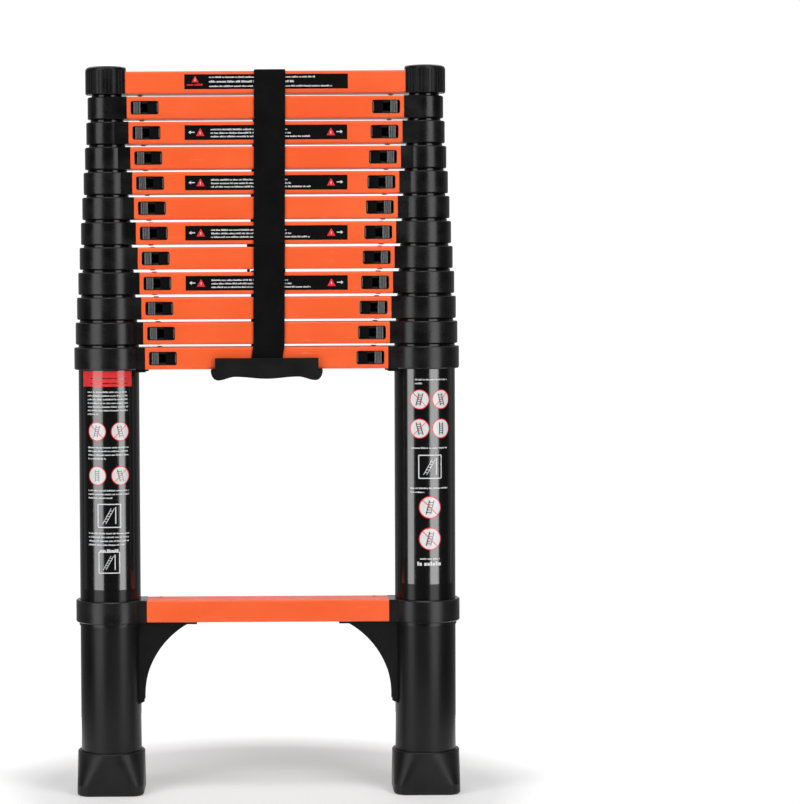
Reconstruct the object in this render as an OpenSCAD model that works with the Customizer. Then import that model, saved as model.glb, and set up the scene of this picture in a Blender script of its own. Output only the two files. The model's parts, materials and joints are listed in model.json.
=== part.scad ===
// Telescoping ladder with thirteen rungs, drawn closed.
// X runs along the rungs, -Y is the side with the thumb latches, +Z is up.
// The origin is on the ground, midway between the feet. All sizes are in millimetres.
// Sections are numbered by their rung: 1 and 2 are fixed on the base tubes, and
// sections 3 to 13 slide, each in the tubes of the section below it.

/* [Ladder] */
// Distance between the axes of the two rails
rail_spacing = 375; // [340:1:420]
// Height of the middle of the bottom rung
bottom_rung_z = 217; // [215:1:260]
// Distance from the bottom rung to the second rung
fixed_pitch = 300; // [280:1:310]
// Distance between neighbouring rungs when closed
closed_pitch = 29.5; // [29.5:0.1:34]
// Distance between neighbouring rungs when extended
open_pitch = 295; // [280:1:300]

/* [Tubes] */
// Outer diameter of the base tubes
base_tube_d = 72; // [70:0.5:74]
// Difference in outer diameter between a tube and the next one
tube_step = 3.6; // [3.4:0.05:3.6]
// Wall thickness of each tube
tube_wall = 1.5; // [1.2:0.05:1.5]
// Length of each sliding tube
tube_length = 370; // [350:5:400]
// Height of the plug in the bottom of each sliding tube
plug_height = 15; // [10:1:18]
// Diameter of the vent hole in each plug
vent_d = 5; // [3:0.5:8]

/* [Collars] */
// How far a collar stands out from its tube
collar_wall = 4.9; // [4:0.1:6]
// Bevel on the rims of a collar
collar_bevel = 1.1; // [0.5:0.1:1.5]
// Height of the neck on top of a collar
neck_height = 3; // [2:0.1:3]
// Depth of the block between a collar and its rung
socket_depth = 45.4; // [45:0.2:48]
// How far the tongue of a socket reaches into its rung
tongue_length = 42; // [40:1:50]
// Radius of the ribbed cap on each top tube
cap_r = 25.4; // [24:0.1:27]
// Height of the cap above the middle of the top rung
cap_rise = 19.5; // [17:0.5:24]
// Number of flutes round a full turn of a cap
cap_flutes = 40; // [24:1:48]

/* [Rungs] */
// Height of a rung
rung_height = 26.3; // [25:0.1:26.3]
// Depth of a rung from front to back
rung_depth = 44; // [42:0.5:44]
// Wall thickness of a rung
rung_wall = 1.8; // [1.5:0.1:2.2]
// Corner radius of a rung
rung_corner = 3; // [2.5:0.1:4]
// Distance from the rail axis to the end of the second rung
base_rung_end = 44.1; // [44:0.1:47]
// How much nearer to the rail axis the next rung ends
rung_end_step = 1.95; // [1.9:0.05:2]
// Number of grip grooves along the top of a rung
tread_grooves = 9; // [3:1:10]

/* [Thumb latches] */
// Length of the slot that a thumb pad slides in
slot_length = 31.4; // [28:0.1:34]
// Height of that slot
slot_height = 14.8; // [13:0.1:16]
// Distance from the end of the rung to the slot
slot_inset = 5.3; // [5:0.1:7]
// Width of a thumb pad
pad_width = 8; // [7:0.5:9]
// Diameter of a lock pin
pin_d = 7; // [6:0.1:7]
// How far a thumb pad slides to pull its pin back
latch_pull = 8; // [6:0.5:8]

/* [Feet and brackets] */
// Width of a foot
foot_width = 80; // [79:1:84]
// Height of a foot
foot_height = 50; // [45:1:65]
// Thickness of a foot under its tube
sole_height = 12; // [8:1:16]
// Reach of a bracket from the rail axis, along the bottom rung
bracket_reach = 103; // [98:1:110]
// Height of a bracket
bracket_height = 99; // [95:1:110]
// Depth of a bracket from front to back
bracket_depth = 26; // [24:1:36]
// Sheet thickness of a bracket
bracket_wall = 3; // [2:0.5:3]
// Radius of the arch cut in a bracket
arch_r = 102; // [100:1:108]

/* [Handle and strap] */
// Width of the strap
strap_width = 37; // [30:0.5:40]
// Thickness of the strap
strap_thick = 1.8; // [1.4:0.1:1.8]
// Width of the plates of the handle
plate_width = 122; // [90:1:126]
// Width of the grip of the handle
grip_width = 132; // [128:1:140]
// Height of the middle of the buckle
buckle_z = 637; // [600:1:700]

/* [Hidden] */
$fn = 96;
top = 13;
sections = [for (k = [3:top]) k];
latched = [for (k = [2:top - 1]) k];
function two(k) = k < 10 ? str("0", k) : str(k);

overlap = 1;
fit_gap = 0.05;
slide_gap = 0.2;
soft_gap = 0.3;
pin_rest_gap = 0.1;
pin_lock_travel = 1.6;
pin_hole_d = pin_d + 0.6;
collar_half = rung_height / 2;
tube_top_drop = 1;
vertical_cut = 2 * rung_height;
edge_break = 1;
inner_depth = rung_depth - 2 * rung_wall;
inner_height = rung_height - 2 * rung_wall;
inner_corner = rung_corner - rung_wall;
tongue_depth = inner_depth - 2 * slide_gap;
tongue_height = inner_height - 2 * slide_gap;
slot_corner = 1.8;
pad_gap = 2.7;
pad_proud = 0.4;
carriage_half = 5;
carriage_back = 4.6;
spring_bore = 10;
rivet_d = 4;
rivet_head_d = 7.5;
rivet_head_h = 0.9;
rivet_grip = 5.5;
rivet_inset = 16;
rivet_back = 12;
rivet_hole_depth = 12;
flute_r = 0.9;
crown_height = 1.6;
bracket_leg_x = 40.3;
arch_drop = 104.5;
arch_x = arch_r + bracket_leg_x;
arch_z = bottom_rung_z - arch_drop;
bracket_top = bottom_rung_z - rung_height / 2 - fit_gap;
saddle_x = 32;
lip_height = 4;
lip_wall = 1.2;
strap_y = rung_depth / 2 + soft_gap;
strap_out = strap_y + strap_thick;
plate_thick = 3.2;
plate_in = strap_out + soft_gap;
plate_out = plate_in + plate_thick;
plate_drop = 14;
grip_drop = 26.2;
grip_middle_drop = 24.4;
grip_waist_drop = 22;
waist_x = 37;
lobe_x = 57.5;
buckle_width = 46;
buckle_thick = 8;
buckle_gap = 0.1;
buckle_in = strap_out + buckle_gap;
socket_height = 30;
plug_body = 6;
prong_length = 22;
prong_width = 6;
prong_thick = 3.2;
frame_thick = 4;
web_bar = 4.5;
web_slot = 3.5;
strap_foot_z = 11;

function tube_r(k) = (base_tube_d - tube_step * (max(k, 2) - 2)) / 2;
function collar_r(k) = tube_r(k) + collar_wall;
function rung_end(k) = base_rung_end - rung_end_step * (max(k, 2) - 2);
function rung_z(k) =
    k == 1 ? bottom_rung_z : bottom_rung_z + fixed_pitch + closed_pitch * (k - 2);
function pad_x(k) = rung_end(k) + slot_inset + pad_gap;
function has_latch(k) = k > 1 && k < top;

// Puts a shape on one rail: local +X points from the rail's axis towards the rungs.
module at_rail(side) {
    if (side == "left") translate([-rail_spacing / 2, 0, 0]) children();
    else translate([rail_spacing / 2, 0, 0]) mirror([1, 0, 0]) children();
}

module both_rails() {
    at_rail("left") children();
    at_rail("right") children();
}

module rounded_rect(w, h, r) {
    square([w - 2 * r, h], center = true);
    square([w, h - 2 * r], center = true);
    for (x = [-1, 1], y = [-1, 1])
        translate([x * (w / 2 - r), y * (h / 2 - r)]) circle(r, $fn = 32);
}

// Extrudes a profile drawn in Y and Z along X, from x0 to x1.
module along_x(x0, x1) {
    translate([x0, 0, 0]) rotate([90, 0, 90]) linear_extrude(x1 - x0) children();
}

// Extrudes a profile drawn in X and Z along Y, from y0 to y1.
module along_y(y0, y1) {
    translate([0, y1, 0]) rotate([90, 0, 0]) linear_extrude(y1 - y0) children();
}

module rod_x(x0, x1, d) {
    translate([x0, 0, 0]) rotate([0, 90, 0]) cylinder(h = x1 - x0, d = d);
}

// ---- Tubes ----

module rail_tube(k, bottom, pin_holes) {
    end = rung_z(k) + collar_half - tube_top_drop;
    difference() {
        translate([0, 0, bottom]) cylinder(h = end - bottom, r = tube_r(k));
        translate([0, 0, bottom - overlap])
            cylinder(h = end - bottom + 2 * overlap, r = tube_r(k) - tube_wall);
        for (z = pin_holes) translate([0, 0, z]) rod_x(0, tube_r(k) + overlap, pin_hole_d);
    }
}

module sliding_tube(k) {
    bottom = rung_z(k) + collar_half - tube_top_drop - tube_length;
    own_hole = has_latch(k) ? [rung_z(k)] : [];
    nest_and_lock = [rung_z(k) - closed_pitch, rung_z(k) - open_pitch];
    rail_tube(k, bottom, concat(own_hole, nest_and_lock));
    tube_plug(tube_r(k), bottom);
}

// A cup that closes the bottom of a tube, with a rim as wide as the tube.
module tube_plug(r, bottom) {
    rim = 2;
    wall = 2;
    cup_r = r - tube_wall - fit_gap;
    difference() {
        union() {
            translate([0, 0, bottom - rim]) cylinder(h = rim - fit_gap, r = r);
            translate([0, 0, bottom - rim]) cylinder(h = plug_height + rim, r = cup_r);
        }
        translate([0, 0, bottom + wall]) cylinder(h = plug_height, r = cup_r - wall);
        translate([0, 0, bottom - rim - overlap]) cylinder(h = plug_height, d = vent_d);
    }
}

// ---- Collars ----

module collar_outline(k) {
    r = collar_r(k);
    neck_top = collar_half + neck_height;
    neck_bevel = neck_height / 4;
    neck = k == 1 ? [[0, collar_half]] : [
        [tube_r(k), collar_half], [tube_r(k), neck_top - neck_bevel],
        [tube_r(k) - neck_bevel, neck_top], [0, neck_top]
    ];
    rotate_extrude() polygon(concat(
        [[0, -collar_half], [r - collar_bevel, -collar_half], [r, -collar_half + collar_bevel]],
        [[r, collar_half - collar_bevel], [r - collar_bevel, collar_half]],
        neck
    ));
}

// Everything past the plane where a rung starts, so that a wide collar ends flat there.
module rung_side(k) {
    translate([rung_end(k) - fit_gap, -rung_depth, -rung_height])
        cube([rung_depth, 2 * rung_depth, 3 * rung_height]);
}

module socket_block(k) {
    end = rung_end(k) - fit_gap;
    half = socket_depth / 2;
    translate([0, 0, -collar_half]) linear_extrude(2 * collar_half) polygon([
        [0, -half], [end - edge_break, -half], [end, -half + edge_break],
        [end, half - edge_break], [end - edge_break, half], [0, half]
    ]);
}

module tongue(k) {
    along_x(rung_end(k) - overlap, rung_end(k) + tongue_length)
        rounded_rect(tongue_depth, tongue_height, inner_corner + slide_gap);
}

// The room that the pin, its carriage and its spring need in a socket.
module latch_room(k) {
    front = pad_x(k) - pin_lock_travel - 2 * slide_gap;
    back = pad_x(k) + pad_width + latch_pull + 2 * slide_gap;
    depth = rung_depth / 2 + carriage_back + 2 * slide_gap;
    rod_x(0, back + spring_bore, pin_d + 2 * slide_gap);
    translate([front, -rung_depth / 2, -carriage_half - slide_gap])
        cube([back - front, depth, 2 * (carriage_half + slide_gap)]);
}

// Every rung is riveted from above and below, but the brackets' rivets hold rung 1 from below.
module rivet_places(k) {
    for (turn = k == 1 ? [0] : [0, 180])
        translate([rung_end(k) + rivet_inset, rivet_back, 0]) rotate([turn, 0, 0]) children();
}

module rivet_shank(gap) {
    translate([0, 0, rung_height / 2 - rivet_grip - gap])
        cylinder(h = rivet_grip + 2 * gap, d = rivet_d + 2 * gap);
}

module rivet() {
    rivet_shank(0);
    translate([0, 0, rung_height / 2 + fit_gap])
        cylinder(h = rivet_head_h, d1 = rivet_head_d, d2 = rivet_head_d - 3);
    translate([0, 0, rung_height / 2 - overlap / 2]) cylinder(h = overlap, d = rivet_d);
}

// One collar with its neck, socket block and tongue, centred on its own rung's height.
module collar(k) {
    difference() {
        union() {
            difference() {
                collar_outline(k);
                rung_side(k);
            }
            socket_block(k);
            tongue(k);
            if (k == 1) below_collar_lip(k, 0);
            if (k == 2) release_tab(k);
        }
        translate([0, 0, -vertical_cut])
            cylinder(h = vertical_cut + tube_seat(k), r = tube_r(k) + fit_gap);
        cylinder(h = vertical_cut, r = tube_r(k) - tube_wall);
        if (has_latch(k)) latch_room(k);
        rivet_places(k) rivet_shank(fit_gap);
    }
}

// Height up to which a collar takes its tube: collar 1 lets it pass right through.
function tube_seat(k) = k == 1 ? vertical_cut : collar_half - tube_top_drop + fit_gap;

module below_collar_lip(k, gap) {
    translate([0, 0, -collar_half - lip_height - gap])
        cylinder(h = lip_height + overlap, r = tube_r(k) + lip_wall + gap);
}

// The block of collar 2 hangs lower than its collar and ends in a small tab.
module release_tab(k) {
    block = [12, 30, 3.4];
    tab = [5, 8, 2.2];
    translate([rung_end(k) - block.x, -block.y / 2, -collar_half - block.z])
        cube([block.x - fit_gap, block.y, block.z + overlap]);
    translate([rung_end(k) - 2, -tab.y / 2, -collar_half - slide_gap - tab.z]) cube(tab);
}

module cap_block() {
    end = rung_end(top) - fit_gap;
    rise = cap_rise - crown_height;
    side = collar_half + 0.5;
    along_y(-socket_depth / 2, socket_depth / 2) polygon([
        [0, -collar_half], [end, -collar_half], [end, side], [end + side - rise, rise], [0, rise]
    ]);
}

module cap_outline() {
    crown_r = cap_r - 4;
    side = cap_rise - 4;
    rotate_extrude() polygon([
        [0, -collar_half], [cap_r - edge_break, -collar_half], [cap_r, -collar_half + edge_break],
        [cap_r, side], [cap_r - 1.2, cap_rise - crown_height], [crown_r, cap_rise], [0, cap_rise]
    ]);
}

// One flute of the cap, standing on the cap's lower face.
module flute() {
    plain_rim = 4.5;
    translate([0, 0, -collar_half - overlap])
        cylinder(h = cap_rise + collar_half - plain_rim + overlap, r = flute_r, $fn = 24);
}

// The flutes go round the cap and along the front and back of its block, but not over the rung.
module all_flutes() {
    depth = flute_r / 3;
    pitch = 360 / cap_flutes;
    last_cos = 0.55;
    for (turn = [0:pitch:360 - pitch])
        if (cos(turn) < last_cos) rotate(turn) translate([cap_r + depth, 0, 0]) flute();
    for (x = [15.5, 18.5], side = [-1, 1])
        translate([x, side * (socket_depth / 2 + depth), 0]) flute();
}

module top_cap() {
    difference() {
        union() {
            difference() {
                cap_outline();
                rung_side(top);
            }
            cap_block();
            tongue(top);
        }
        translate([0, 0, -vertical_cut])
            cylinder(h = vertical_cut + tube_seat(top), r = tube_r(top) + fit_gap);
        all_flutes();
        rivet_places(top) rivet_shank(fit_gap);
    }
}

// ---- Rungs ----

module rung_profile() {
    flat_edge = 2;
    groove = [1.4, 1];
    groove_pitch = (rung_depth - 2 * (rung_corner + flat_edge)) / (tread_grooves - 1);
    difference() {
        rounded_rect(rung_depth, rung_height, rung_corner);
        rounded_rect(inner_depth, inner_height, inner_corner);
        for (i = [0:tread_grooves - 1])
            translate([(i - (tread_grooves - 1) / 2) * groove_pitch, rung_height / 2])
                square(groove, center = true);
    }
}

module slot_cut(k) {
    along_y(-rung_depth, -inner_depth / 2 + overlap)
        translate([rung_end(k) + slot_inset + slot_length / 2, 0])
            rounded_rect(slot_length, slot_height, slot_corner);
}

module rung_bar(k) {
    half = rail_spacing / 2 - rung_end(k);
    translate([0, 0, rung_z(k)]) {
        difference() {
            along_x(-half, half) rung_profile();
            both_rails() {
                if (has_latch(k)) slot_cut(k);
                rivet_places(k) rivet_shank(fit_gap);
            }
        }
        both_rails() rivet_places(k) rivet();
    }
}

// ---- Thumb latches ----

module lock_pin(k) {
    tip = tube_r(k + 1) + pin_rest_gap;
    end = pad_x(k) + pad_width + 2;
    bevel = 0.5;
    translate([tip, 0, 0]) rotate([0, 90, 0]) cylinder(h = bevel, d1 = pin_d - 2 * bevel, d2 = pin_d);
    rod_x(tip + bevel, end, pin_d);
}

module thumb_slide(k) {
    pad_back = tongue_depth / 2 + 0.15;
    pad_front = rung_depth / 2 + pad_proud;
    pad_half = slot_height / 2 - soft_gap;
    rib = pad_width / 8;
    rib_depth = 0.7;
    difference() {
        union() {
            translate([pad_x(k), -pad_back - overlap / 2, -carriage_half])
                cube([pad_width, pad_back + overlap / 2 + carriage_back, 2 * carriage_half]);
            translate([pad_x(k), -pad_front, -pad_half])
                cube([pad_width, pad_front - pad_back, 2 * pad_half]);
        }
        rod_x(pad_x(k) - overlap, pad_x(k) + pad_width + overlap, pin_d + 2 * fit_gap);
        for (i = [0:2])
            translate([pad_x(k) + rib * (1.5 + 2 * i), -pad_front - overlap, -pad_half - overlap])
                cube([rib, overlap + rib_depth, 2 * (pad_half + overlap)]);
    }
}

// ---- Base ----

module foot_body() {
    corner = 15;
    rim = 3;
    base = [foot_width - 1, foot_width - 4];
    tread = [3, 14, 2];
    difference() {
        hull() {
            translate([0, 0, foot_height - edge_break - rim])
                cylinder(h = rim, r = foot_width / 2, $fn = 64);
            translate([0, 0, foot_height - edge_break])
                cylinder(h = edge_break, r = foot_width / 2 - edge_break, $fn = 64);
            translate([0, 0, 2]) linear_extrude(10) rounded_rect(base[0], base[0], corner);
            linear_extrude(1) rounded_rect(base[1], base[1], corner - 1);
        }
        translate([0, 0, sole_height - fit_gap])
            cylinder(h = foot_height, r = tube_r(1) + fit_gap);
        for (i = [-2:2])
            translate([-foot_width, i * tread[1] - tread[0] / 2, -overlap])
                cube([2 * foot_width, tread[0], overlap + tread[2]]);
    }
}

// Side view of a bracket: straight against tube and rung, cut by the arch on the third side.
module bracket_outline() {
    foot_step = 4;
    arch_step = 6;
    bottom = bracket_top - bracket_height;
    difference() {
        polygon([
            [saddle_x, bracket_top], [bracket_reach, bracket_top],
            [bracket_reach, bracket_top - bracket_wall], [bracket_leg_x + arch_step, arch_z],
            [bracket_leg_x, arch_z], [bracket_leg_x, bottom + foot_step], [saddle_x, bottom]
        ]);
        intersection() {
            translate([arch_x, arch_z]) circle(arch_r);
            translate([0, arch_z]) square([arch_x, bracket_top - bracket_wall - arch_z]);
        }
    }
}

module bracket_body() {
    half = bracket_depth / 2;
    pocket = half - bracket_wall;
    saddle = tube_r(1) + bracket_wall - saddle_x;
    difference() {
        along_y(-half, half) bracket_outline();
        along_y(-pocket, pocket) translate([saddle, -bracket_wall]) bracket_outline();
        translate([0, 0, -overlap]) cylinder(h = bottom_rung_z, r = tube_r(1) + fit_gap);
        translate([0, 0, bottom_rung_z]) below_collar_lip(1, fit_gap);
        bracket_rivet_places() rivet_hole(fit_gap);
    }
}

// Two rivets go up into the rung, and two go sideways into the tube.
module bracket_rivet_places() {
    for (x = [rung_end(1) + rivet_inset, bracket_reach - 7])
        translate([x, 0, bracket_top - bracket_wall]) children();
    for (drop = [78, 48])
        translate([tube_r(1) + bracket_wall, 0, bracket_top - drop]) rotate([0, -90, 0]) children();
}

module rivet_hole(start) {
    translate([0, 0, -start]) cylinder(h = rivet_hole_depth, d = rivet_d + 2 * fit_gap);
}

module bracket_rivet() {
    cylinder(h = bracket_wall + 1.4, d = rivet_d);
    translate([0, 0, -fit_gap - rivet_head_h])
        cylinder(h = rivet_head_h, d1 = rivet_head_d - 3, d2 = rivet_head_d);
    translate([0, 0, -fit_gap - overlap / 2]) cylinder(h = overlap, d = rivet_d);
}

// ---- Handle, strap and buckle ----

function ease(a, b, t) = a + (b - a) * (1 - cos(180 * t)) / 2;
function grip_edge(x) =
    x < waist_x ? ease(-grip_middle_drop, -grip_waist_drop, x / waist_x)
    : ease(-grip_waist_drop, -grip_drop, (x - waist_x) / (lobe_x - waist_x));
lobe_top = -plate_drop - 1;
grip_lower = [for (x = [0:2.5:lobe_x]) [x, grip_edge(x)]];
grip_end = [for (a = [15:15:90])
    [lobe_x + (grip_width / 2 - lobe_x) * sin(a), lobe_top - (grip_drop + lobe_top) * cos(a)]];

module half_grip() {
    polygon(concat(
        [[0, -rung_height / 2 - slide_gap]], grip_lower, grip_end,
        [[grip_width / 2, -plate_drop], [plate_width / 2, -plate_drop]],
        [[plate_width / 2, -rung_height / 2 - slide_gap]]
    ));
}

// One plate of the handle. Two pads behind it leave a pocket for the strap between them.
module handle_plate() {
    low = -rung_height / 2 - overlap;
    pad_in = rung_depth / 2 + slide_gap;
    pad_wide = (plate_width - strap_width) / 2 - 1;
    translate([-plate_width / 2, plate_in, low]) cube([plate_width, plate_out - plate_in, -low]);
    for (x = [-plate_width / 2, plate_width / 2 - pad_wide])
        translate([x, pad_in, low]) cube([pad_wide, plate_out - pad_in, -low]);
}

// The webbing's route in a side view: over the top of the closed stack and down both sides.
module strap_loop() {
    crown = rung_z(top) + rung_height / 2 + soft_gap;
    bend = rung_corner + 1;
    middle = (crown + bottom_rung_z) / 2;
    difference() {
        translate([0, middle]) rounded_rect(2 * strap_out, crown + 2 * strap_thick - bottom_rung_z,
                                            bend + strap_thick);
        translate([0, middle]) rounded_rect(2 * strap_y, crown - bottom_rung_z, bend);
        translate([-rung_depth, 0]) square([rung_depth, rung_z(2) - strap_foot_z]);
        square([rung_depth, buckle_z + socket_height / 2 + 3]);
    }
}

// The end of a buckle half that the webbing loops round: a bar, and the slot above it.
module webbing_frame() {
    slot_width = strap_width + 2;
    translate([0, buckle_in, 0]) difference() {
        translate([-buckle_width / 2, 0, 0])
            cube([buckle_width, frame_thick, web_bar + web_slot + overlap]);
        translate([-slot_width / 2, -overlap, web_bar])
            cube([slot_width, frame_thick + 2 * overlap, web_slot]);
    }
}

module buckle_window(z) {
    window = [8, buckle_in + buckle_thick + overlap, 12];
    for (side = [-1, 1])
        translate([side * buckle_width / 2 - window.x / 2, 0, z]) cube(window);
}

// ---- Sub-parts ----

module foot(side) { color("#26262a") at_rail(side) foot_body(); }

module base_tube(side) {
    color("#1b1b1e") at_rail(side) difference() {
        rail_tube(2, sole_height, [rung_z(2)]);
        bracket_rivet_places() rivet_hole(fit_gap);
    }
}

module collars(k) {
    color("#2b2b2e") both_rails() translate([0, 0, rung_z(k)]) collar(k);
}

module bottom_rung() {
    color("#ff6a35") difference() {
        rung_bar(1);
        both_rails() bracket_rivet_places() rivet_hole(0);
    }
}

module rung(k) { color("#ff6a35") rung_bar(k); }

module stiles(k) {
    color("#2b2b2e") both_rails() {
        sliding_tube(k);
        translate([0, 0, rung_z(k)]) {
            if (k == top) top_cap();
            else collar(k);
        }
    }
}

module latch(side, k) {
    color("#8b8b90") at_rail(side) translate([0, 0, rung_z(k)]) {
        lock_pin(k);
        thumb_slide(k);
    }
}

module bracket(side) { color("#1f1f22") at_rail(side) bracket_body(); }

module bracket_rivets() { color("#9a9a9f") both_rails() bracket_rivet_places() bracket_rivet(); }

module handle() {
    color("#232325") translate([0, 0, rung_z(2)]) {
        along_y(-plate_out, plate_out) {
            half_grip();
            mirror([1, 0]) half_grip();
        }
        handle_plate();
        mirror([0, 1, 0]) handle_plate();
    }
}

module strap() {
    color("#19191a") along_x(-strap_width / 2, strap_width / 2) strap_loop();
}

module strap_lower() {
    low = rung_z(2) - strap_foot_z;
    high = buckle_z - socket_height / 2 + 8;
    color("#19191a") translate([-strap_width / 2, strap_y, low])
        cube([strap_width, strap_thick, high - low]);
}

module buckle_socket() {
    wall = 2;
    floor_thick = 5;
    low = buckle_z - socket_height / 2;
    color("#202022") {
        difference() {
            translate([-buckle_width / 2, buckle_in, low])
                cube([buckle_width, buckle_thick, socket_height]);
            translate([-buckle_width / 2 + wall, buckle_in + wall, low + floor_thick])
                cube([buckle_width - 2 * wall, buckle_thick - 2 * wall, socket_height]);
            buckle_window(low + floor_thick + 3);
        }
        translate([0, 0, low - web_bar - web_slot]) webbing_frame();
    }
}

module buckle_plug() {
    low = buckle_z + socket_height / 2 + 0.5;
    prong_in = buckle_in + (buckle_thick - prong_thick) / 2;
    color("#202022") {
        translate([-buckle_width / 2, buckle_in, low]) cube([buckle_width, buckle_thick, plug_body]);
        translate([0, 0, low + plug_body + web_slot + web_bar]) mirror([0, 0, 1]) webbing_frame();
        for (x = [-16, 0, 16])
            translate([x - prong_width / 2, prong_in, low - prong_length])
                cube([prong_width, prong_thick, prong_length + overlap]);
    }
}

for (side = ["left", "right"]) {
    foot(side);
    base_tube(side);
    bracket(side);
}
collars(1);  // collars_01
collars(2);  // collars_02
bottom_rung();  // rung_01
rung(2);  // rung_02
bracket_rivets();
handle();
strap_lower();
buckle_socket();
buckle_plug();
strap();
for (k = sections) {
    stiles(k);
    rung(k);
}
for (side = ["left", "right"], k = latched)
    latch(side, k);
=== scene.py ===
import json
import math
import random

import bmesh
import bpy
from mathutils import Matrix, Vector


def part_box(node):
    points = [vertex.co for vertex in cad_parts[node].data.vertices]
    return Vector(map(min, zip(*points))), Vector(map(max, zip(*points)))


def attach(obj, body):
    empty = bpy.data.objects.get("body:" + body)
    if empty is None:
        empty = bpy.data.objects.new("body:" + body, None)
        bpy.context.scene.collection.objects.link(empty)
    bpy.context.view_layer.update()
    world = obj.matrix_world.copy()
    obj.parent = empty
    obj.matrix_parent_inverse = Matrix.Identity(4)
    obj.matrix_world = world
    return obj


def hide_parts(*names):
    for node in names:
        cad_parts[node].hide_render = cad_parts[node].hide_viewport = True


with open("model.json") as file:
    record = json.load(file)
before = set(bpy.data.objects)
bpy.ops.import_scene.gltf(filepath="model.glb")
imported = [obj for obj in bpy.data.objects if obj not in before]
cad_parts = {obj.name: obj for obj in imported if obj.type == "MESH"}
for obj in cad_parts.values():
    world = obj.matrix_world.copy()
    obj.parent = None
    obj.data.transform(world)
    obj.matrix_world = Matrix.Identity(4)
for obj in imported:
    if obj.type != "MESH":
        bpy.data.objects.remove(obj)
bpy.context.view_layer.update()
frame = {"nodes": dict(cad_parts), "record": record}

# A telescoping ladder: procedural finishes on the CAD frame, webbing with its stitching,
# stickers with generic marks, and the marks moulded in collars and handle.
# Sizes are in metres, -Y is the front and +Z is up.

MM = 0.001
nodes = frame["nodes"]

TOP = 13
COLLAR_WALL = 4.9 * MM
TOP_TUBE_R = 16.2 * MM
WEB_THICK = 1.5 * MM
FLOOR_R = 0.58
# Height of a collar's top over the middle of its rung
COLLAR_RISE = 13.15 * MM

# The strap starts to lean just above the handle, bends over a short stretch, and leans most at its crown.
LEAN_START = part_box("handle")[1].z + 0.5 * MM
LEAN_BEND = 16 * MM
LEAN_START_BACK = 700 * MM
CROWN_Z = 856 * MM


def two(k):
    return f"{k:02d}"


def section_body(k):
    return "base" if k <= 2 else f"section_{two(k)}"


def rung_front(k):
    """X centre, Y of the front face and Z centre of a rung."""
    low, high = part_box(f"rung_{two(k)}")
    return Vector(((low.x + high.x) / 2, low.y, (low.z + high.z) / 2))


def collar_size(k):
    """X of the right rail's axis and the outer radius of a section's collar."""
    low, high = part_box("base_tube_right")
    axis_x = (low.x + high.x) / 2
    node = "collars_02" if k == 2 else f"stiles_{two(k)}"
    return axis_x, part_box(node)[1].x - axis_x


def bottom_rung_z():
    """The middle height of rung 1."""
    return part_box("collars_01")[1].z - COLLAR_RISE


# ---- Materials ----

BLACK = (0.003, 0.003, 0.0034)
SOOT = (0.009, 0.009, 0.0095)
COAT_BLACK = (0.0035, 0.0035, 0.004)
COAT_GREY = (0.007, 0.007, 0.0075)
GRIP_BLACK = (0.004, 0.004, 0.0045)
FILM_BLACK = (0.003, 0.003, 0.0035)

class Look:
    """A procedural material on object coordinates, in metres."""

    def __init__(self, name, values):
        self.material = bpy.data.materials.new(name)
        self.material.use_nodes = True
        self.tree = self.material.node_tree
        self.surface = self.tree.nodes["Principled BSDF"]
        self.place = self.add("ShaderNodeTexCoord").outputs["Object"]
        self.normal = None
        self.split = None
        for key, value in values.items():
            self.put(self.surface.inputs[key], value)

    def add(self, kind, **settings):
        node = self.tree.nodes.new(kind)
        for key, value in settings.items():
            setattr(node, key, value)
        return node

    def put(self, socket, value):
        if isinstance(value, bpy.types.NodeSocket):
            self.tree.links.new(value, socket)
        elif socket.type == "RGBA":
            socket.default_value = (*value, 1.0)
        else:
            socket.default_value = value

    def maths(self, operation, *values):
        node = self.add("ShaderNodeMath", operation=operation)
        for socket, value in zip(node.inputs, values):
            self.put(socket, value)
        return node.outputs[0]

    def noise(self, scale, stretch=(1, 1, 1), detail=3.0):
        """Cloudy noise from 0 to 1, with scale in features a metre."""
        spread = self.add("ShaderNodeMapping")
        spread.inputs["Scale"].default_value = [scale * s for s in stretch]
        self.put(spread.inputs["Vector"], self.place)
        noise = self.add("ShaderNodeTexNoise")
        noise.inputs["Scale"].default_value = 1.0
        noise.inputs["Detail"].default_value = detail
        self.put(noise.inputs["Vector"], spread.outputs[0])
        return noise.outputs["Fac"]

    def remap(self, value, start, end, low, high):
        node = self.add("ShaderNodeMapRange")
        for socket, number in zip(node.inputs, (value, start, end, low, high)):
            self.put(socket, number)
        return node.outputs[0]

    def blend(self, factor, first, second):
        node = self.add("ShaderNodeMix", data_type="RGBA")
        for socket, value in zip((node.inputs[0], node.inputs[6], node.inputs[7]), (factor, first, second)):
            self.put(socket, value)
        return node.outputs[2]

    def bump(self, height, distance, strength=1.0):
        node = self.add("ShaderNodeBump")
        node.inputs["Distance"].default_value = distance
        self.put(node.inputs["Strength"], strength)
        self.put(node.inputs["Height"], height)
        if self.normal is not None:
            self.put(node.inputs["Normal"], self.normal)
        self.normal = node.outputs[0]
        self.put(self.surface.inputs["Normal"], self.normal)

    def axis(self, name):
        """The X, Y or Z coordinate."""
        if self.split is None:
            self.split = self.add("ShaderNodeSeparateXYZ")
            self.put(self.split.inputs[0], self.place)
        return self.split.outputs[name]

    def radius(self, first, second):
        """The distance from an axis, given the two coordinates across it."""
        squares = [self.maths("POWER", self.maths("ABSOLUTE", value), 2.0) for value in (first, second)]
        return self.maths("SQRT", self.maths("ADD", *squares))

    def colour(self, value):
        self.put(self.surface.inputs["Base Color"], value)

    def roughness(self, value):
        self.put(self.surface.inputs["Roughness"], value)


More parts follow.
